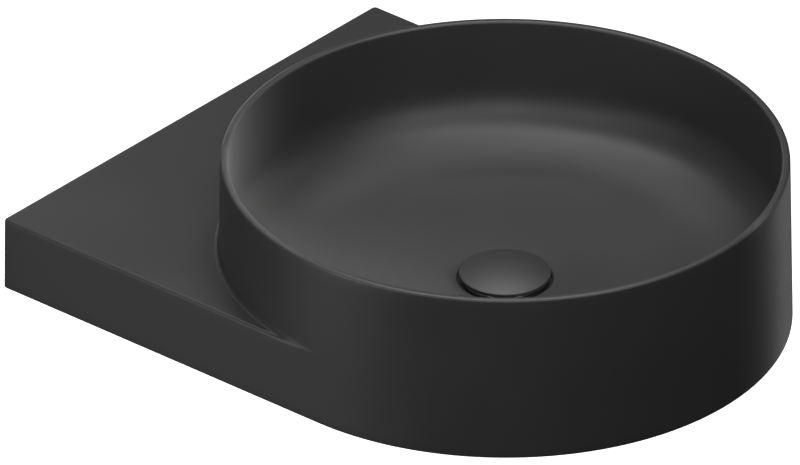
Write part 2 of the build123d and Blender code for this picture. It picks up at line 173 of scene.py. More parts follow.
def turned(section, steps=144, thread=None):
    """Points and faces of a closed section, a list of (r, t), turned about its axis.

    thread is (radius, from t, to t, pitch, depth): the rows on that radius are cut by a helical groove.
    """
    points, rings = [], []
    angles = [2 * pi * step / steps for step in range(steps)]
    for r, t in section:
        if r < TINY / 10:
            rings.append((len(points), 1))
            points.append((0.0, 0.0, t))
            continue
        rings.append((len(points), steps))
        for a in angles:
            cut = r
            if thread and abs(r - thread[0]) < TINY and thread[1] <= t <= thread[2]:
                cut -= thread[4] * groove(t / thread[3] - a / (2 * pi)) * fade(t, *thread[1:4])
            points.append((cut * cos(a), cut * sin(a), t))
    faces = []
    for (here, here_size), (there, there_size) in zip(rings, rings[1:] + rings[:1]):
        for step in range(steps):
            after = (step + 1) % steps
            if here_size == 1 and there_size == 1:
                break
            if here_size == 1:
                faces.append((here, there + after, there + step))
            elif there_size == 1:
                faces.append((here + step, here + after, there))
            else:
                faces.append((here + step, here + after, there + after, there + step))
    return points, faces


GROOVE_STEEPNESS = 1.5
GROOVE_FLAT = 0.25


def groove(turns):
    """Depth of a thread's groove, 0 at the crest and 1 at the root, with small flats on both."""
    return min(1.0, max(0.0, GROOVE_STEEPNESS * abs(2 * (turns % 1.0) - 1) - GROOVE_FLAT))


def fade(t, low, high, pitch):
    """Run-out of a thread at both ends."""
    return max(0.0, min(1.0, (t - low) / pitch, (high - t) / pitch))


def closed_rings(rings, count):
    """Faces of a closed surface of rings with the same count of points, the last joined to the first."""
    faces = []
    for ring in range(rings):
        here, there = ring * count, (ring + 1) % rings * count
        for step in range(count):
            after = (step + 1) % count
            faces.append((here + step, here + after, there + after, there + step))
    return faces


def prism(outline, hole_radius, low, high, bevel):
    """Points and faces of an upright prism with bevelled outer edges, round-bored or nearly closed."""

    def scaled(share):
        """The outline with each point moved to a share of its distance, given that distance."""
        return [(x * share(sqrt(x * x + y * y)), y * share(sqrt(x * x + y * y))) for x, y in outline]

    def inset(distance):
        return scaled(lambda r: 1 - distance / r)

    hole_radius = hole_radius or 0.1 * MM
    hole = scaled(lambda r: hole_radius / r)
    levels = [
        (hole, low),
        (inset(bevel), low),
        (outline, low + bevel),
        (outline, high - bevel),
        (inset(bevel), high),
        (hole, high),
    ]
    points = [(x, y, z) for ring, z in levels for x, y in ring]
    return points, closed_rings(len(levels), len(outline))


NUT_FACE = 0.48
NUT_BEVEL_SLOPE = 0.577


def hexagon(low, high, flats, bore, steps=96, mouth=0.5 * MM):
    """Points and faces of a bevelled hexagon nut with a countersunk bore; a corner lies on the first axis."""
    face = NUT_FACE * flats
    rings = [[] for _ in range(8)]
    for step in range(steps):
        a = 2 * pi * step / steps
        corner = flats / 2 / cos(a % (pi / 3) - pi / 6)
        drop = (corner - face) * NUT_BEVEL_SLOPE
        rows = (
            (bore, low + mouth),
            (bore + mouth, low),
            (face, low),
            (corner, low + drop),
            (corner, high - drop),
            (face, high),
            (bore + mouth, high),
            (bore, high - mouth),
        )
        for ring, (r, t) in zip(rings, rows):
            ring.append((r * cos(a), r * sin(a), t))
    points = [point for ring in rings for point in ring]
    return points, closed_rings(len(rings), steps)


def bar(x0, x1, half_width, z0, z1, bevel):
    """Points and faces of a bar along X with its long edges bevelled."""
    section = [
        (-half_width, z0 + bevel),
        (-half_width + bevel, z0),
        (half_width - bevel, z0),
        (half_width, z0 + bevel),
        (half_width, z1 - bevel),
        (half_width - bevel, z1),
        (-half_width + bevel, z1),
        (-half_width, z1 - bevel),
    ]
    points = [(x, y, z) for x in (x0, x1) for y, z in section]
    count = len(section)
    faces = [(i, (i + 1) % count, count + (i + 1) % count, count + i) for i in range(count)]
    faces += [tuple(range(count)), tuple(range(2 * count - 1, count - 1, -1))]
    return points, faces


# ---------------------------------------------------------------- finishes
DRIFT_DETAIL = 4
DRIFT_RANGE = (0.3, 0.7)
FINE_DETAIL = 3
MARK_SCALE = 420
MARK_DISTORTION = 1.5
MARK_DEPTH = 0.00001


def tinted(name, colour, other_colour, scale, roughness, spread, fine_scale, fine_depth, sockets):
    """A finish whose colour and roughness drift slowly and whose surface has a fine relief."""
    material = bpy.data.materials.new(name)
    material.use_nodes = True
    nodes, links = material.node_tree.nodes, material.node_tree.links
    shader = nodes["Principled BSDF"]
    place = nodes.new("ShaderNodeTexCoord")
    drift = nodes.new("ShaderNodeTexNoise")
    drift.inputs["Scale"].default_value = scale
    drift.inputs["Detail"].default_value = DRIFT_DETAIL
    links.new(place.outputs["Object"], drift.inputs["Vector"])
    colours = nodes.new("ShaderNodeMix")
    colours.data_type = "RGBA"
    colours.inputs["A"].default_value = (*colour, 1)
    colours.inputs["B"].default_value = (*other_colour, 1)
    links.new(drift.outputs["Fac"], colours.inputs["Factor"])
    links.new(colours.outputs["Result"], shader.inputs["Base Color"])
    shine = nodes.new("ShaderNodeMapRange")
    shine.inputs["From Min"].default_value = DRIFT_RANGE[0]
    shine.inputs["From Max"].default_value = DRIFT_RANGE[1]
    shine.inputs["To Min"].default_value = roughness - spread
    shine.inputs["To Max"].default_value = roughness + spread
    links.new(drift.outputs["Fac"], shine.inputs["Value"])
    links.new(shine.outputs["Result"], shader.inputs["Roughness"])
    fine = nodes.new("ShaderNodeTexNoise")
    fine.inputs["Scale"].default_value = fine_scale
    fine.inputs["Detail"].default_value = FINE_DETAIL
    links.new(place.outputs["Object"], fine.inputs["Vector"])
    relief = nodes.new("ShaderNodeBump")
    relief.inputs["Strength"].default_value = 1.0
    relief.inputs["Distance"].default_value = fine_depth
    links.new(fine.outputs["Fac"], relief.inputs["Height"])
    links.new(relief.outputs["Normal"], shader.inputs["Normal"])
    for socket, value in sockets.items():
        shader.inputs[socket].default_value = value
    return material


def add_turning_marks(material):
    """Add the faint rings of a lathe to a metal finish, stacked along Z."""
    nodes, links = material.node_tree.nodes, material.node_tree.links
    rings = nodes.new("ShaderNodeTexWave")
    rings.bands_direction = "Z"
    rings.inputs["Scale"].default_value = MARK_SCALE
    rings.inputs["Distortion"].default_value = MARK_DISTORTION
    links.new(nodes["Texture Coordinate"].outputs["Object"], rings.inputs["Vector"])
    marks = nodes.new("ShaderNodeBump")
    marks.inputs["Distance"].default_value = MARK_DEPTH
    links.new(rings.outputs["Fac"], marks.inputs["Height"])
    links.new(nodes["Bump"].outputs["Normal"], marks.inputs["Normal"])
    links.new(marks.outputs["Normal"], nodes["Principled BSDF"].inputs["Normal"])


METAL = {"Metallic": 1.0}
SOFT = {"Subsurface Weight": 0.15}

FINISH_ROWS = {
    # slot: material name, colour and other colour in linear RGB, features per metre, roughness and its
    # spread, fine features per metre, depth of the fine relief in metres, other shader sockets
    "matt_black_ceramic": (
        "matt_black_glaze", (0.027, 0.027, 0.027), (0.033, 0.033, 0.033), 14, 0.44, 0.02, 900, 0.000012, {}
    ),
    "brass": ("brass", (0.64, 0.43, 0.17), (0.72, 0.52, 0.25), 60, 0.30, 0.07, 1500, 0.00001, METAL),
    "chrome": ("chrome", (0.74, 0.76, 0.78), (0.80, 0.81, 0.82), 25, 0.09, 0.03, 700, 0.000002, METAL),
    "zinc_steel": (
        "zinc_plate", (0.52, 0.55, 0.58), (0.66, 0.67, 0.66), 120, 0.33, 0.08, 1300, 0.00001, METAL
    ),
    "spring_steel": (
        "spring_steel", (0.40, 0.40, 0.41), (0.52, 0.52, 0.52), 300, 0.28, 0.06, 2500, 0.000004, METAL
    ),
    "black_rubber": (
        "black_rubber", (0.018, 0.018, 0.018), (0.032, 0.031, 0.030), 80, 0.68, 0.08, 1800, 0.00002, {}
    ),
    "white_nylon": (
        "white_nylon", (0.74, 0.73, 0.69), (0.80, 0.79, 0.75), 70, 0.46, 0.05, 1200, 0.000012, SOFT
    ),
    "black_plastic": (
        "black_plastic", (0.022, 0.022, 0.023), (0.030, 0.030, 0.030), 60, 0.38, 0.06, 2200, 0.00001, {}
    ),
}
FINISHES = {}


def finish(slot_name):
    """The finish of a material slot, made once."""
    if slot_name not in FINISHES:
        FINISHES[slot_name] = tinted(*FINISH_ROWS[slot_name])
        if slot_name == "brass":
            add_turning_marks(FINISHES[slot_name])
    return FINISHES[slot_name]


# ---------------------------------------------------------------- basin: sizes of its own
RIM_RADIUS = BASE_RADIUS - 3 * MM
RIM_THICKNESS = 6.5 * MM
RIM_EDGE = 2.2 * MM
DECK_Z = FOOT_Z + 61 * MM
DECK_EDGE = 2.5 * MM
DECK_CORNER = 4 * MM
JUNCTION = 3.5 * MM
LEDGE_FADE = 0.4
SHOULDER_TOP_Z = DECK_Z + 20 * MM
FOOT_EDGE = 1.2 * MM
DRAFT = (BASE_RADIUS - RIM_RADIUS) / (RIM_Z - FOOT_Z)
INNER_RADIUS = RIM_RADIUS - RIM_THICKNESS
BEND_RADIUS = 38 * MM
BEND_CENTRE = (INNER_RADIUS - BEND_RADIUS, FOOT_Z + 82 * MM)
BEND_SLOPE = radians(25)
EASY_RADIUS = 110 * MM
FLOOR_SLOPE = radians(4.5)
RECESS_Z = FOOT_Z + 28 * MM
RECESS_RADIUS = 36.8 * MM
RECESS_EDGE = 2.4 * MM
RECESS_CORNER = 1.0 * MM
OUTLET_RADIUS = 23 * MM
OUTLET_EDGE = 0.6 * MM
SEAT_Z = FOOT_Z + 16 * MM
BOSS_RADIUS = 38 * MM
BOSS_EDGE = 1.5 * MM
FLARE_RADIUS = 45 * MM
FLARE_CORNER = 2 * MM
SHELL = 10 * MM
SKIRT = 8.5 * MM
BACK_WALL = 14 * MM
CEILING_Z = FOOT_Z + 49 * MM
CAVITY_CORNER = 10 * MM
PAD_RADIUS = 20 * MM
PAD_REACH = 17 * MM
PAD_EDGE = 1.2 * MM
PAD_ROOT = 3 * MM
HOLE_RADIUS = 11 * MM
HOLE_CHAMFER = 0.8 * MM
PAST_WALL = 5 * MM
PAST_PAD = 2.2 * MM

# How finely half the plan is divided: front, side, corner, back.
FRONT_STEPS = 92
SIDE_STEPS = 56
CORNER_STEPS = 10
BACK_STEPS = 30
# The side's points are partly even, and crowd where the side leaves the circle.
SIDE_EVEN = 0.3
SIDE_CROWDING = 1.8

# How finely the bowl's section is divided.
RIM_STEPS = 6
WALL_STEPS = 7
BEND_STEPS = 18
EASY_STEPS = 10
FLOOR_STEPS = 9
UNDER_STEPS = 8

front_part = slice(0, FRONT_STEPS)
side_part = slice(FRONT_STEPS, FRONT_STEPS + SIDE_STEPS)
corner_part = slice(side_part.stop, side_part.stop + CORNER_STEPS)
back_part = slice(corner_part.stop, corner_part.stop + BACK_STEPS + 1)
NONE = np.zeros(back_part.stop)

front_angles = -pi / 2 * (1 + np.arange(FRONT_STEPS) / FRONT_STEPS)
side_shares = np.arange(SIDE_STEPS) / SIDE_STEPS
side_shares = SIDE_EVEN * side_shares + (1 - SIDE_EVEN) * side_shares**SIDE_CROWDING
corner_angles = pi / 2 * np.arange(CORNER_STEPS) / CORNER_STEPS
back_shares = 1 - np.arange(BACK_STEPS + 1) / BACK_STEPS


def d_half(side_inset, back_inset, radius=BASE_RADIUS, back_y=0.0, corner=DECK_CORNER):
    """Left half of the D-shaped outline, moved inwards by insets, each a number or one per point.

    It runs from the middle of the front over the side to the middle of the back. The points of the side keep
    to rays from the bowl's axis, spaced closely where the side leaves the circle.
    """
    r = radius - side_inset + NONE
    y_back = back_y - back_inset + NONE
    turn = corner - back_inset + NONE
    half = np.empty((len(NONE), 2))
    part = front_part
    half[part] = np.column_stack([r[part] * np.cos(front_angles), AXIS_Y + r[part] * np.sin(front_angles)])
    part = side_part
    last_ray = np.arctan((y_back[part] - turn[part] - AXIS_Y) / r[part])
    half[part] = np.column_stack([-r[part], AXIS_Y + r[part] * np.tan(last_ray * side_shares)])
    part = corner_part
    half[part, 0] = -r[part] + turn[part] * (1 - np.cos(corner_angles))
    half[part, 1] = y_back[part] - turn[part] * (1 - np.sin(corner_angles))
    part = back_part
    half[part] = np.column_stack([back_shares * (turn[part] - r[part]), y_back[part]])
    return half


outer = d_half(0, 0)
RAYS = np.arctan2(outer[:, 1] - AXIS_Y, outer[:, 0])


def circle_half(radius):
    """Left half of a circle about the bowl's axis, on the outline's rays; one radius, or one per point."""
    return np.column_stack([radius * np.cos(RAYS), AXIS_Y + radius * np.sin(RAYS)])


def wall_radius(z):
    """Outer radius of the bowl at a height."""
    return BASE_RADIUS - DRAFT * (z - FOOT_Z)


def floor_height(r, offset=0.0):
    """Height of the dished floor, or of its underside, at a radius."""
    return FLOOR_CENTRE_Z - sqrt((FLOOR_RADIUS + offset) ** 2 - r * r)


easy_centre = (
    BEND_CENTRE[0] + (BEND_RADIUS - EASY_RADIUS) * sin(BEND_SLOPE),
    BEND_CENTRE[1] - (BEND_RADIUS - EASY_RADIUS) * cos(BEND_SLOPE),
)
FLOOR_RADIUS = (easy_centre[0] + EASY_RADIUS * sin(FLOOR_SLOPE)) / sin(FLOOR_SLOPE)
FLOOR_CENTRE_Z = easy_centre[1] + (FLOOR_RADIUS - EASY_RADIUS) * cos(FLOOR_SLOPE)


def curve(centre, radius, start, end, steps):
    """Points (r, z) of an arc below its centre, from one slope to another, without the first point."""
    slopes = start + (end - start) * np.arange(1, steps + 1) / steps
    return [(centre[0] + radius * sin(a), centre[1] - radius * cos(a)) for a in slopes]


def bowl_section():
    """Inside of the bowl from the rim's outer edge down to the outlet and out along the underside."""
    top, edge = RIM_Z - RIM_EDGE, RIM_EDGE
    outer_r = wall_radius(RIM_Z) - edge
    turns = pi / 2 * np.arange(RIM_STEPS + 1) / RIM_STEPS
    points = [(outer_r + edge * cos(a), top + edge * sin(a)) for a in turns]
    points += [(INNER_RADIUS + edge - edge * sin(a), top + edge * cos(a)) for a in turns]
    points += run((INNER_RADIUS, top), (INNER_RADIUS, BEND_CENTRE[1]), WALL_STEPS)[1:]
    points += curve(BEND_CENTRE, BEND_RADIUS, pi / 2, BEND_SLOPE, BEND_STEPS)
    points += curve(easy_centre, EASY_RADIUS, BEND_SLOPE, FLOOR_SLOPE, EASY_STEPS)
    edge_r = RECESS_RADIUS + RECESS_EDGE
    points += [(r, floor_height(r)) for r in np.linspace(points[-1][0], edge_r, FLOOR_STEPS + 1)[1:]]
    edge_z = points[-1][1] - RECESS_EDGE
    points += [(edge_r - RECESS_EDGE * sin(a), edge_z + RECESS_EDGE * cos(a)) for a in turns[1:]]
    beyond_flare = FLARE_RADIUS + 20 * MM
    points += soft_loop(
        [
            (RECESS_RADIUS, RECESS_Z, RECESS_CORNER),
            (OUTLET_RADIUS, RECESS_Z, OUTLET_EDGE),
            (OUTLET_RADIUS, SEAT_Z, OUTLET_EDGE),
            (BOSS_RADIUS, SEAT_Z, BOSS_EDGE),
            (FLARE_RADIUS, floor_height(FLARE_RADIUS, SHELL), FLARE_CORNER),
            (beyond_flare, floor_height(beyond_flare, SHELL)),
            (edge_r, edge_z),
        ]
    )[:-2]
    easy_end = easy_centre[0] + (EASY_RADIUS + SHELL) * sin(FLOOR_SLOPE)
    under_radii = np.linspace(FLARE_RADIUS + 2 * FLARE_CORNER, easy_end, UNDER_STEPS + 1)
    points += [(r, floor_height(r, SHELL)) for r in under_radii]
    points += curve(easy_centre, EASY_RADIUS + SHELL, FLOOR_SLOPE, BEND_SLOPE, UNDER_STEPS)
    ceiling_slope = acos((BEND_CENTRE[1] - CEILING_Z) / (BEND_RADIUS + SHELL))
    points += curve(BEND_CENTRE, BEND_RADIUS + SHELL, BEND_SLOPE, ceiling_slope, UNDER_STEPS)
    return points


def shoulder_rows(convex=9, flat=26, concave=9, above=6, least=0.12 * MM):
    """Rows from the top of the skirt over the deck and its hollow edge to the bowl's upper wall.

    Where the side leaves the bowl's circle the deck starts as a fading ledge: both rounded edges are cut
    short, at an angle that grows from 0 to a right angle as the gap between outline and circle grows, and
    their radii swell to fill the gap.
    """
    drafted = d_half(DRAFT * (DECK_Z - FOOT_Z), 0)
    gap = np.maximum(np.hypot(drafted[:, 0], drafted[:, 1] - AXIS_Y) - wall_radius(DECK_Z), 0)
    room = np.clip(gap / (DECK_EDGE + JUNCTION), 0, 1)
    angle = np.arccos(1 - room) * (LEDGE_FADE + (1 - LEDGE_FADE) * room)
    swell = np.where(room > TINY, room / np.maximum(1 - np.cos(angle), NO_ZERO), 1 / LEDGE_FADE**2)
    edge_r, junction_r = DECK_EDGE * swell, JUNCTION * swell
    lengths = (edge_r * angle, np.maximum(gap - DECK_EDGE - JUNCTION, 0), junction_r * angle)
    start_z = DECK_Z - edge_r * np.sin(angle)
    top_z = DECK_Z + junction_r * np.sin(angle)
    length = sum(lengths) + SHOULDER_TOP_Z - top_z
    places = [lengths[0] * k / convex for k in range(convex)]
    places += [lengths[0] + lengths[1] * k / flat for k in range(flat)]
    places += [lengths[0] + lengths[1] + lengths[2] * k / concave for k in range(concave + 1)]
    places = [s + least * k * (1 - angle / (pi / 2)) for k, s in enumerate(places)]
    last = places[-1]
    places += [last + (length - last) * k / above for k in range(1, above + 1)]
    rows = []
    for s in places:
        turn_out = np.minimum(s / edge_r, angle)
        turn_in = np.clip(angle - (s - lengths[0] - lengths[1]) / junction_r, 0, angle)
        in_convex = s <= lengths[0]
        in_flat = ~in_convex & (s < lengths[0] + lengths[1])
        beyond = np.maximum(s - sum(lengths), 0)
        rising = start_z + edge_r * np.sin(turn_out)
        climbing = top_z - junction_r * np.sin(turn_in) + beyond
        z = np.where(in_flat, DECK_Z, np.where(in_convex, rising, climbing))
        inset = edge_r * (1 - np.cos(turn_out))
        near = d_half(DRAFT * (z - FOOT_Z) + inset, inset)
        far = circle_half(wall_radius(z) + junction_r * (1 - np.cos(turn_in)))
        across = (s - lengths[0]) / np.maximum(lengths[1], NO_ZERO)
        share = np.where(in_flat, across, np.where(in_convex, 0.0, 1.0))
        rows.append(np.column_stack([near + (far - near) * share[:, None], z]))
    return rows


def level(half, z):
    """Half a row of points at one height."""
    return np.column_stack([half, z + NONE])


def basin_rows():
    """Every row of the basin's closed surface, each from the middle of the front to that of the back."""
    turns = pi / 2 * np.arange(6) / 5
    rows = []
    for a in turns:
        z = FOOT_Z + FOOT_EDGE * (1 - cos(a))
        inset = FOOT_EDGE * (1 - sin(a))
        rows.append(level(d_half(inset + DRAFT * (z - FOOT_Z), inset), z))
    for z in np.linspace(FOOT_Z + FOOT_EDGE, DECK_Z - DECK_EDGE, 12)[1:-1]:
        rows.append(level(d_half(DRAFT * (z - FOOT_Z), 0), z))
    rows += shoulder_rows()
    for z in np.linspace(SHOULDER_TOP_Z, RIM_Z - RIM_EDGE, 8)[1:-1]:
        rows.append(level(circle_half(wall_radius(z)), z))
    section = bowl_section()
    rows += [level(circle_half(r), z) for r, z in section]
    hollow = dict(radius=BASE_RADIUS - SKIRT, back_y=-BACK_WALL, corner=CAVITY_CORNER)
    start, end = circle_half(section[-1][0]), d_half(0, 0, **hollow)
    for share in np.linspace(0, 1, 9)[1:]:
        rows.append(level(start + (end - start) * share, CEILING_Z))
    for z in np.linspace(CEILING_Z, FOOT_Z + FOOT_EDGE, 9)[1:]:
        rows.append(level(d_half(0, 0, **hollow), z))
    for a in turns[1:]:
        inset = FOOT_EDGE * (cos(a) - 1)
        rows.append(level(d_half(inset, inset, **hollow), FOOT_Z + FOOT_EDGE * (1 - sin(a))))
    return rows


def basin_surface():
    """Points and faces of the basin, closed, before its pads and fixing holes."""
    rings = []
    for row in basin_rows():
        mirrored = row[-2:0:-1] * np.array([-1, 1, 1])
        rings.append(np.vstack([row, mirrored]))
    return np.vstack(rings).tolist(), closed_rings(len(rings), len(rings[0]))


def combine(target, tool_shape, operation):
    """Cut or join a temporary solid, and keep the result as the target's own mesh."""
    tool = tool_shape.to_object("tool")
    change = target.modifiers.new("change", "BOOLEAN")
    change.operation = operation
    change.solver = "EXACT"
    change.object = tool
    bpy.context.view_layer.update()
    result = bpy.data.meshes.new_from_object(target.evaluated_get(bpy.context.evaluated_depsgraph_get()))
    target.modifiers.clear()
    target.data = result
    mesh = tool.data
    bpy.data.objects.remove(tool)
    bpy.data.meshes.remove(mesh)


def make_basin():
    shape = Shape()
    shape.add(*basin_surface())
    basin = shape.piece("basin_ceramic", "basin_and_waste", "matt_black_ceramic", ["basin"])
    pads, holes = Shape(), Shape()
    pad = [
        (0, BACK_WALL - PAD_ROOT),
        (PAD_RADIUS, BACK_WALL - PAD_ROOT),
        (PAD_RADIUS, PAD_REACH, PAD_EDGE),
        (0, PAD_REACH),
    ]
    hole = [
        (0, -PAST_WALL),
        (HOLE_RADIUS + HOLE_CHAMFER + PAST_WALL, -PAST_WALL),
        (HOLE_RADIUS, HOLE_CHAMFER),
        (HOLE_RADIUS, PAD_REACH - HOLE_CHAMFER),
        (HOLE_RADIUS + HOLE_CHAMFER + PAST_PAD, PAD_REACH + PAST_PAD),
        (0, PAD_REACH + PAST_PAD),
    ]
    for node in ("stud_sleeve_left", "stud_sleeve_right"):
        place = fixing(node)
        pads.add(*turned(soft_loop(pad), 72), place)
        holes.add(*turned(hole, 72), place)
    combine(basin, pads, "UNION")
    combine(basin, holes, "DIFFERENCE")
    smooth(basin, SHARP_ANGLE)


make_basin()


# ---------------------------------------------------------------- pieces turned or bevelled in one go
def turned_piece(name, node, body, slot_name, corners, steps=96, place=BOWL, corner_steps=5):
    """A piece turned about its axis from a closed section, whose corners are (r, t, radius)."""
    shape = Shape()
    shape.add(*turned(soft_loop(corners, corner_steps), steps), place)
    shape.piece(name, body, slot_name, [node])


def ring_piece(name, node, slot_name, inner, outer_r, edge):
    """A flat ring between a node's lowest and highest z, in the fixed body."""
    low, high = span(node)
    corners = [(inner, low, edge), (outer_r, low, edge), (outer_r, high, edge), (inner, high, edge)]
    turned_piece(name, node, "basin_and_waste", slot_name, corners, 144)


def nut_piece(name, node, body, slot_name, ends, sizes, place=BOWL, **finer):
    """A hexagon nut between two ends; sizes are its width across flats and the radius of its bore."""
    nut = Shape()
    nut.add(*hexagon(*ends, *sizes, **finer), place)
    nut.piece(name, body, slot_name, [node])


# ---------------------------------------------------------------- cap and plug, which slide together
CAP_RIM_HEIGHT = 3 * MM
CAP_RIM_WIDTH = 4 * MM
CAP_ROUND = 0.8 * MM
CAP_LIP = 0.16 * MM
CAP_LIP_ROUND = 0.68 * MM
CAP_SOCKET = (7.05 * MM, 4.55 * MM)
DOME_STEPS = 24
INSERT_RADIUS = 7 * MM
INSERT_FLANGE = (12 * MM, 1.5 * MM)
INSERT_SKIN = 0.1 * MM
SEAL_RADIUS = 23.5 * MM
SEAL_LIP = 1.2 * MM
SEAL_CONE = (21.88 * MM, 19.58 * MM)
SEAL_SKIRT = (17.58 * MM, 2 * MM)
STEM_RADIUS = 3 * MM
STEM_FOOT = (2 * MM, 4 * MM)
COLLAR_TOP = 14.9 * MM
COLLAR_RADIUS = 4.7 * MM
STEM_PLAIN = 18 * MM
STEM_PITCH, STEM_GROOVE = 1.0 * MM, 0.55 * MM


def make_cap():
    low, high = span("drain_cap")
    radius = half_width("drain_cap")
    rise = high - low - CAP_RIM_HEIGHT
    dome_radius = (radius**2 + rise**2) / (2 * rise)
    dome = []
    for step in range(DOME_STEPS + 1):
        a = asin((radius - CAP_ROUND) / dome_radius) * step / DOME_STEPS
        dome.append((dome_radius * sin(a), high - dome_radius * (1 - cos(a))))
    rim = soft_loop(
        [
            dome[-1],
            (radius, dome[-1][1] - CAP_LIP, CAP_LIP_ROUND),
            (radius, low, CAP_ROUND),
            (radius - CAP_RIM_WIDTH, low),
        ],
        8,
    )
    socket, socket_top = CAP_SOCKET[0], low + CAP_SOCKET[1]
    cap = Shape()
    cap.add(*turned(dome[:-1] + rim + [(socket, low), (socket, socket_top), (0, socket_top)], 180), BOWL)
    cap.piece("cap_ceramic", "plug", "matt_black_ceramic", ["drain_cap"])


def make_plug():
    low, high = span("cap_insert")
    flange_r, flange_z = INSERT_FLANGE[0], low + INSERT_FLANGE[1]
    corners = [
        (0, high),
        (INSERT_RADIUS, high, 0.4 * MM),
        (INSERT_RADIUS, flange_z),
        (flange_r, flange_z, 0.2 * MM),
        (flange_r, low, 0.4 * MM),
        (STEM_RADIUS, low, 0.4 * MM),
        (STEM_RADIUS, high - INSERT_SKIN),
        (0, high - INSERT_SKIN),
    ]
    turned_piece("cap_insert_brass", "cap_insert", "plug", "brass", corners)

    low, high = span("cap_seal")
    skirt_r, skirt_z = SEAL_SKIRT[0], low + SEAL_SKIRT[1]
    corners = [
        (flange_r, high),
        (SEAL_RADIUS, high, 0.15 * MM),
        (SEAL_RADIUS, high - SEAL_LIP, 0.5 * MM),
        (SEAL_CONE[0], high - SEAL_LIP, 0.25 * MM),
        (SEAL_CONE[1], low, 0.5 * MM),
        (skirt_r, low, 0.5 * MM),
        (skirt_r, skirt_z, 0.5 * MM),
        (flange_r, skirt_z),
    ]
    turned_piece("cap_seal_rubber", "cap_seal", "plug", "black_rubber", corners, 144)

    ends, sizes = span("stem_lock_nut"), (10 * MM, STEM_RADIUS)
    nut_piece("stem_nut_brass", "stem_lock_nut", "plug", "brass", ends, sizes)

    low, high = span("plunger_stem")
    foot_r, collar_low, collar_high = STEM_FOOT[0], low + STEM_FOOT[1], low + COLLAR_TOP
    foot = [(0, low), (foot_r, low, 0.4 * MM), (foot_r, collar_low), (0, collar_low)]
    stem = Shape()
    stem.add(*turned(soft_loop(foot), 48), BOWL)
    stem.add(*prism(slotted(COLLAR_RADIUS), 0, collar_low, collar_high, 0.3 * MM), BOWL)
    rod = run((STEM_RADIUS, collar_high), (STEM_RADIUS, high - 0.5 * MM), 150)
    rod += [(STEM_RADIUS - 0.5 * MM, high), (0, high), (0, collar_high)]
    thread = (STEM_RADIUS, collar_high + STEM_PLAIN, high + STEM_PITCH, STEM_PITCH, STEM_GROOVE)
    stem.add(*turned(rod, 48, thread), BOWL)
    stem.piece("stem_brass", "plug", "brass", ["plunger_stem"])


def slotted(radius, slots=4, half_slot=1.3 * MM, slot_floor=3.6 * MM, arc_steps=14):
    """Round outline with a slot for each guide rib, one of them along the first axis."""
    edge = asin(half_slot / radius)
    points = []
    for slot in range(slots):
        a = 2 * pi * slot / slots
        corners = [(radius * cos(edge), -half_slot), (slot_floor, -half_slot)]
        corners += [(slot_floor, half_slot), (radius * cos(edge), half_slot)]
        points += [(x * cos(a) - y * sin(a), x * sin(a) + y * cos(a)) for x, y in corners]
        between = 2 * pi / slots - 2 * edge
        for step in range(1, arc_steps):
            b = a + edge + between * step / arc_steps
            points.append((radius * cos(b), radius * sin(b)))
    return points


make_cap()
make_plug()


# ---------------------------------------------------------------- waste, fixed parts
TAIL_RADIUS = 20.955 * MM
TAIL_PITCH, TAIL_GROOVE = 2.309 * MM, 1.2 * MM
TAIL_BORE = 18 * MM
MOUTH_RADIUS = 22 * MM
FLANGE_RADIUS = 33 * MM
FLANGE_THICKNESS = 2.5 * MM
RELIEF_RADIUS = 20.2 * MM
RELIEF_Z = (FOOT_Z - 1 * MM, FOOT_Z - 3.5 * MM)
BRIDGE_Z = FOOT_Z + 6 * MM
HUB_RADII = (7.55 * MM, 10.5 * MM)
HUB_HEIGHT = 8 * MM
ARM_REACH = (10.2 * MM, 18.4 * MM)
ARM_HALF_WIDTH, ARM_HEIGHT, ARM_EDGE = 1.5 * MM, 6 * MM, 0.5 * MM
TAIL_FIT = 21.1 * MM
GASKET_RADIUS = 29 * MM
GASKET_FACE = 4 * MM
GASKET_CONE = (22.7 * MM, 21.99 * MM)


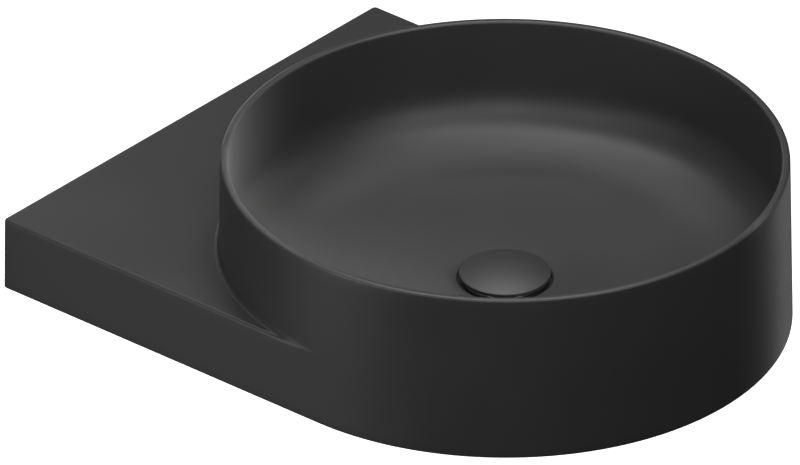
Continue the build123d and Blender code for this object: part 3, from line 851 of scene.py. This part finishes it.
def make_waste():
    low, high = span("waste_body")
    flange_low = high - FLANGE_THICKNESS
    section = soft_loop(
        [
            (TAIL_BORE, high - MOUTH_RADIUS + TAIL_BORE, 0.8 * MM),
            (MOUTH_RADIUS, high, 0.5 * MM),
            (FLANGE_RADIUS, high, 0.7 * MM),
            (FLANGE_RADIUS, flange_low, 0.2 * MM),
            (TAIL_RADIUS, flange_low),
        ],
        6,
    )
    section += run((TAIL_RADIUS, flange_low - 3 * MM), (TAIL_RADIUS, RELIEF_Z[0]), 120)
    section += [(RELIEF_RADIUS, RELIEF_Z[0] - 0.4 * MM), (RELIEF_RADIUS, RELIEF_Z[1] + 0.4 * MM)]
    section += run((TAIL_RADIUS, RELIEF_Z[1]), (TAIL_RADIUS, low + 1 * MM), 200)
    section += [(TAIL_RADIUS - 1 * MM, low), (TAIL_BORE + 0.4 * MM, low), (TAIL_BORE, low + 0.4 * MM)]
    thread = (TAIL_RADIUS, low - 1 * MM, high - 6 * MM, TAIL_PITCH, TAIL_GROOVE)
    waste = Shape()
    waste.add(*turned(section, 120, thread), BOWL)
    hub = [
        (HUB_RADII[0], BRIDGE_Z - HUB_HEIGHT, 0.4 * MM),
        (HUB_RADII[1], BRIDGE_Z - HUB_HEIGHT, 0.6 * MM),
        (HUB_RADII[1], BRIDGE_Z, 0.6 * MM),
        (HUB_RADII[0], BRIDGE_Z, 0.4 * MM),
    ]
    waste.add(*turned(soft_loop(hub), 96), BOWL)
    arm = bar(*ARM_REACH, ARM_HALF_WIDTH, BRIDGE_Z - ARM_HEIGHT, BRIDGE_Z, ARM_EDGE)
    for turn in range(3):
        waste.add(*arm, BOWL @ Matrix.Rotation(2 * pi * turn / 3, 4, "Z"))
    waste.piece("waste_chrome", "basin_and_waste", "chrome", ["waste_body"])

    ring_piece("flange_gasket_rubber", "flange_gasket", "black_rubber", 23.2 * MM, 32.5 * MM, 0.35 * MM)
    ring_piece("slip_washer_nylon", "slip_washer", "white_nylon", TAIL_FIT, GASKET_RADIUS, 0.4 * MM)

    low, high = span("under_gasket")
    face = low + GASKET_FACE
    corners = [
        (TAIL_FIT, low, 0.3 * MM),
        (GASKET_RADIUS, low, 0.8 * MM),
        (GASKET_RADIUS, face, 0.8 * MM),
        (GASKET_CONE[0], face, 0.1 * MM),
        (GASKET_CONE[1], high, 0.4 * MM),
        (TAIL_FIT, high, 0.3 * MM),
    ]
    turned_piece("under_gasket_rubber", "under_gasket", "basin_and_waste", "black_rubber", corners, 144)

    ends, sizes, finer = span("back_nut"), (54 * MM, 21 * MM), dict(steps=144, mouth=1 * MM)
    nut_piece("back_nut_brass", "back_nut", "basin_and_waste", "brass", ends, sizes, **finer)


make_waste()


# ---------------------------------------------------------------- waste, click cartridge
TUBE_RADIUS = 7.5 * MM
TUBE_BORE = 5 * MM
TUBE_FLOOR = 2 * MM
TUBE_COLLAR = (9.5 * MM, 2 * MM)
TUBE_THREAD = 11 * MM
TUBE_PITCH, TUBE_GROOVE = 1.0 * MM, 0.5 * MM
RIB_REACH = (3.9 * MM, 5.1 * MM)
RIB_HALF_WIDTH, RIB_EDGE = 1 * MM, 0.2 * MM
RIB_Z = (FOOT_Z + 0.4 * MM, FOOT_Z + 8.5 * MM)
COVER_RADIUS = 9 * MM
COVER_HOLE = 3.1 * MM
COVER_THICKNESS = 2.5 * MM
COVER_FIT = 7.55 * MM
ROTOR_RADIUS, ROTOR_BORE, ROTOR_EDGE = 4.6 * MM, 2.05 * MM, 0.25 * MM
WIRE_RADIUS, COIL_RADIUS = 0.45 * MM, 3.6 * MM
COIL_TURNS, CLOSED_TURNS = 7.5, 0.9
COIL_STEPS, WIRE_STEPS = 330, 10


def make_cartridge():
    low, high = span("cartridge_housing")
    tube = run((TUBE_RADIUS, low + 0.5 * MM), (TUBE_RADIUS, BRIDGE_Z), 150)
    collar_r, collar_high = TUBE_COLLAR[0], BRIDGE_Z + TUBE_COLLAR[1]
    section = [(0, low), (TUBE_RADIUS - 0.5 * MM, low)] + tube
    section += soft_loop(
        [
            tube[-1],
            (collar_r, BRIDGE_Z, 0.3 * MM),
            (collar_r, collar_high, 0.5 * MM),
            (TUBE_RADIUS, collar_high, 0.2 * MM),
            (TUBE_RADIUS, high, 0.4 * MM),
            (TUBE_BORE, high, 0.3 * MM),
            (TUBE_BORE, low + TUBE_FLOOR),
            (0, low + TUBE_FLOOR),
        ]
    )[1:]
    thread = (TUBE_RADIUS, BRIDGE_Z - TUBE_THREAD, BRIDGE_Z, TUBE_PITCH, TUBE_GROOVE)
    housing = Shape()
    housing.add(*turned(section, 96, thread), BOWL)
    rib = bar(*RIB_REACH, RIB_HALF_WIDTH, *RIB_Z, RIB_EDGE)
    for turn in range(4):
        housing.add(*rib, BOWL @ Matrix.Rotation(pi / 2 * turn, 4, "Z"))
    housing.piece("cartridge_brass", "basin_and_waste", "brass", ["cartridge_housing"])

    low, high = span("cartridge_cover")
    corners = [
        (COVER_FIT, low, 0.2 * MM),
        (COVER_RADIUS, low, 0.4 * MM),
        (COVER_RADIUS, high, 0.7 * MM),
        (COVER_HOLE, high, 0.3 * MM),
        (COVER_HOLE, high - COVER_THICKNESS),
        (COVER_FIT, high - COVER_THICKNESS),
    ]
    turned_piece("cartridge_cover_brass", "cartridge_cover", "basin_and_waste", "brass", corners)

    low, high = span("latch_rotor")
    rotor = Shape()
    rotor.add(*prism(slotted(ROTOR_RADIUS), ROTOR_BORE, low, high, ROTOR_EDGE), BOWL)
    rotor.piece("latch_rotor_nylon", "rotor", "white_nylon", ["latch_rotor"])


def make_spring():
    """A coil with closed ends, where it stands on the housing and the rotor."""
    low, high = span("latch_spring")
    rise = high - low - 2 * WIRE_RADIUS
    closed_rise = 2 * WIRE_RADIUS / rise
    points = []
    for step in range(COIL_STEPS + 1):
        t = COIL_TURNS * step / COIL_STEPS
        climb = min(max((t - CLOSED_TURNS) / (COIL_TURNS - 2 * CLOSED_TURNS), 0), 1)
        closed = min(t, CLOSED_TURNS) + max(t - COIL_TURNS + CLOSED_TURNS, 0)
        share = climb * (1 - 2 * CLOSED_TURNS * closed_rise) + closed * closed_rise
        a = 2 * pi * t
        out, up = Vector((cos(a), sin(a), 0)), Vector((0, 0, 1))
        centre = out * COIL_RADIUS + up * (low + WIRE_RADIUS + rise * share)
        for side in range(WIRE_STEPS):
            b = 2 * pi * side / WIRE_STEPS
            points.append(centre + out * (WIRE_RADIUS * cos(b)) + up * (WIRE_RADIUS * sin(b)))
    faces = []
    for step in range(COIL_STEPS):
        for side in range(WIRE_STEPS):
            after = (side + 1) % WIRE_STEPS
            here, there = step * WIRE_STEPS, (step + 1) * WIRE_STEPS
            faces.append((here + side, here + after, there + after, there + side))
    last = len(points) - 1
    faces += [tuple(range(WIRE_STEPS)), tuple(range(last, last - WIRE_STEPS, -1))]
    spring = Shape()
    spring.add(points, faces, BOWL)
    made = spring.piece("latch_spring_steel", None, "spring_steel", ["latch_spring"], 60)
    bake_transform(made)


make_cartridge()
make_spring()


# ---------------------------------------------------------------- wall fixings
ANCHOR_RADIUS, ANCHOR_PITCH, ANCHOR_GROOVE = 6 * MM, 3.2 * MM, 1.3 * MM
ROD_RADIUS, ROD_PITCH, ROD_GROOVE = 5 * MM, 1.5 * MM, 0.85 * MM
SLEEVE_RADII = (5.1 * MM, 10.8 * MM, 15 * MM)
SLEEVE_FLANGE = 3 * MM
WASHER_RADII = (5.3 * MM, 10.5 * MM)
NUT_FLATS = 17 * MM
COVER_CAP_RADII = (10.6 * MM, 12.4 * MM)
COVER_CAP_TOP = 1.6 * MM


def make_fixing(side):
    stud_node, place = f"wall_stud_{side}", fixing(f"stud_sleeve_{side}")
    near, far = reach(stud_node)
    anchor = [(0, near), (ANCHOR_RADIUS - 1.6 * MM, near), (ANCHOR_RADIUS - 1 * MM, near + 0.6 * MM)]
    anchor += run((ANCHOR_RADIUS, near + 1.5 * MM), (ANCHOR_RADIUS, -1 * MM), 110) + [(ROD_RADIUS, 0), (0, 0)]
    rod = [(0, 0)] + run((ROD_RADIUS, 0.2 * MM), (ROD_RADIUS, far - 1 * MM), 190)
    rod += [(ROD_RADIUS - 1 * MM, far), (0, far)]
    stud = Shape()
    stud.add(*turned(anchor, 64, (ANCHOR_RADIUS, near, 0, ANCHOR_PITCH, ANCHOR_GROOVE)), place)
    stud.add(*turned(rod, 64, (ROD_RADIUS, -1, 1, ROD_PITCH, ROD_GROOVE)), place)
    stud.piece(f"hanger_bolt_{side}", "basin_and_waste", "zinc_steel", [stud_node])

    def turned_part(name, node, slot_name, corners, corner_steps=5):
        turned_piece(name, node, "basin_and_waste", slot_name, corners, 96, place, corner_steps)

    near, far = reach(f"stud_sleeve_{side}")
    bore, sleeve_r, flange_r = SLEEVE_RADII
    corners = [
        (bore, near, 0.3 * MM),
        (sleeve_r, near, 0.5 * MM),
        (sleeve_r, far - SLEEVE_FLANGE, 0.2 * MM),
        (flange_r, far - SLEEVE_FLANGE, 0.3 * MM),
        (flange_r, far, 0.7 * MM),
        (bore, far, 0.3 * MM),
    ]
    turned_part(f"sleeve_nylon_{side}", f"stud_sleeve_{side}", "white_nylon", corners)

    near, far = reach(f"stud_washer_{side}")
    bore, washer_r = WASHER_RADII
    corners = [
        (bore, near, 0.2 * MM),
        (washer_r, near, 0.3 * MM),
        (washer_r, far, 0.5 * MM),
        (bore, far, 0.3 * MM),
    ]
    turned_part(f"washer_zinc_{side}", f"stud_washer_{side}", "zinc_steel", corners)

    node = f"stud_nut_{side}"
    sizes = (NUT_FLATS, ROD_RADIUS)
    nut_piece(f"nut_zinc_{side}", node, "basin_and_waste", "zinc_steel", reach(node), sizes, place)

    near, far = reach(f"stud_cap_{side}")
    bore, cap_r = COVER_CAP_RADII
    corners = [
        (0, far),
        (cap_r, far, 3 * MM),
        (cap_r, near, 0.4 * MM),
        (bore, near, 0.3 * MM),
        (bore, far - COVER_CAP_TOP, 1.2 * MM),
        (0, far - COVER_CAP_TOP),
    ]
    turned_part(f"nut_cover_{side}", f"stud_cap_{side}", "black_plastic", corners, 8)


for side in ("left", "right"):
    make_fixing(side)


# ---------------------------------------------------------------- camera
# The angles, the aim and, within 0.2%, the lens come from a least-squares fit to the object's outline, made
# outside this script for this distance. The outline hardly fixes the distance itself.
VIEW_AZIMUTH = -49.556
VIEW_ELEVATION = 29.963
VIEW_ROLL = -0.027
VIEW_DISTANCE = 16.52
LENS = 951.4
AIM_RIGHT = -0.0819
AIM_UP = 0.0622
FAR_CLIP = 100


def place_camera():
    """A very long lens, so that the view is almost parallel, aimed left of and above the bowl's foot."""
    azimuth, elevation, roll = radians(VIEW_AZIMUTH), radians(VIEW_ELEVATION), radians(VIEW_ROLL)
    back = Vector((sin(azimuth) * cos(elevation), -cos(azimuth) * cos(elevation), sin(elevation)))
    right = Vector((cos(azimuth), sin(azimuth), 0))
    up = back.cross(right)
    foot = Vector((0, AXIS_Y, FOOT_Z))
    data = bpy.data.cameras.new("camera")
    data.lens = LENS
    data.clip_end = FAR_CLIP
    camera = bpy.data.objects.new("camera", data)
    scene.collection.objects.link(camera)
    camera.location = foot + right * AIM_RIGHT + up * AIM_UP + back * VIEW_DISTANCE
    tilted = (right * cos(roll) + up * sin(roll), up * cos(roll) - right * sin(roll), back)
    camera.rotation_euler = Matrix(tilted).transposed().to_euler()
    scene.camera = camera


place_camera()

# ---------------------------------------------------------------- light and stage
scene.view_settings.view_transform = "Standard"

FLOOR_Z = FOOT_Z - 0.82
FLOOR_HALF = 30.0
FLOOR_WHITE = 0.9
FLOOR_ROUGHNESS = 0.9
DIM_LIGHT = 0.015
# The powers and directions are the result of a least-squares fit made outside this script: the powers are
# rounded to a tenth of a watt, and the directions were picked from a coarse grid. Only the light called
# right was not fitted.
LIGHTS = (
    # name, azimuth and elevation it shines from, distance, width and height in metres, power in watts
    ("overhead", 0, 89.9, 1.6, 1.0, 1.0, 11.4),
    ("left", -110, 0, 2.0, 0.6, 1.0, 10.9),
    ("left_high", -90, 30, 2.0, 0.6, 1.0, 4.8),
    ("camera_side", -50, 30, 2.0, 0.6, 1.0, 8.3),
    ("front", -10, 30, 2.0, 0.6, 1.0, 7.4),
    ("front_high", 10, 62, 1.8, 0.8, 0.8, 5.4),
    ("back_high", 130, 62, 1.8, 0.8, 0.8, 8.5),
    ("left_back_high", -170, 62, 1.8, 0.8, 0.8, 6.7),
    ("back", 150, 0, 2.0, 0.6, 1.0, 4.2),
    ("right", 65, 15, 2.0, 0.6, 1.0, 3.0),
    ("right_low", 90, -28, 2.0, 0.6, 1.0, 1.6),
    ("left_low", -130, -28, 2.0, 0.6, 1.0, 0.8),
)


def around_bowl(azimuth, radius, height):
    """Place at a distance from the bowl's axis and a height over its rim."""
    angle = radians(azimuth)
    return Vector((sin(angle) * radius, AXIS_Y - cos(angle) * radius, RIM_Z + height))


def make_light(name, place, target, width, height, power, spread=180, mirrored=True):
    """A soft area light that the camera doesn't see; the glaze shows its reflection only if mirrored."""
    data = bpy.data.lights.new(name, "AREA")
    data.shape = "RECTANGLE"
    data.size = width
    data.size_y = height
    data.energy = power
    data.spread = radians(spread)
    light = bpy.data.objects.new(name, data)
    light.visible_camera = False
    light.visible_glossy = mirrored
    data.cycles.use_multiple_importance_sampling = mirrored
    light.location = place
    light.rotation_euler = (place - target).to_track_quat("Z", "Y").to_euler()
    scene.collection.objects.link(light)


for light_name, azimuth, elevation, distance, *size_and_power in LIGHTS:
    away, above = distance * cos(radians(elevation)), distance * sin(radians(elevation))
    make_light(light_name, around_bowl(azimuth, away, above), around_bowl(0, 0, 0), *size_and_power)

# A narrow light just over the right of the rim fills the left wall inside the bowl. It adds no gloss, and
# no stray bright dots, because rays that bounce don't look for it.
make_light(
    "rim_fill",
    place=around_bowl(30, 0.25, 0.09),
    target=around_bowl(-125, 0.215, -0.03),
    width=0.12,
    height=0.12,
    power=0.85,
    spread=40,
    mirrored=False,
)


def make_floor():
    """Wide white floor far below the basin, as bright as its surroundings wherever the camera looks."""
    half = FLOOR_HALF
    corners = [(x, y, FLOOR_Z) for x, y in ((-half, -half), (half, -half), (half, half), (-half, half))]
    mesh = bpy.data.meshes.new("floor")
    mesh.from_pydata(corners, [], [(0, 1, 2, 3)])
    floor = bpy.data.objects.new("floor", mesh)
    scene.collection.objects.link(floor)
    material = bpy.data.materials.new("floor_white")
    material.use_nodes = True
    shader = material.node_tree.nodes["Principled BSDF"]
    shader.inputs["Base Color"].default_value = (FLOOR_WHITE, FLOOR_WHITE, FLOOR_WHITE, 1)
    shader.inputs["Roughness"].default_value = FLOOR_ROUGHNESS
    shader.inputs["Emission Color"].default_value = (1, 1, 1, 1)
    shader.inputs["Emission Strength"].default_value = 1.0
    mesh.materials.append(material)
    floor.visible_diffuse = False
    floor.visible_glossy = False
    floor.visible_shadow = False


def make_world():
    """White where the camera looks past the floor, and a dim even light everywhere else."""
    world = bpy.data.worlds.new("studio")
    scene.world = world
    world.use_nodes = True
    nodes, links = world.node_tree.nodes, world.node_tree.links
    dim = nodes["Background"]
    dim.inputs["Color"].default_value = (1, 1, 1, 1)
    dim.inputs["Strength"].default_value = DIM_LIGHT
    white = nodes.new("ShaderNodeBackground")
    white.inputs["Color"].default_value = (1, 1, 1, 1)
    seen = nodes.new("ShaderNodeLightPath")
    mix = nodes.new("ShaderNodeMixShader")
    links.new(seen.outputs["Is Camera Ray"], mix.inputs["Fac"])
    links.new(dim.outputs["Background"], mix.inputs[1])
    links.new(white.outputs["Background"], mix.inputs[2])
    links.new(mix.outputs["Shader"], nodes["World Output"].inputs["Surface"])


make_floor()
make_world()
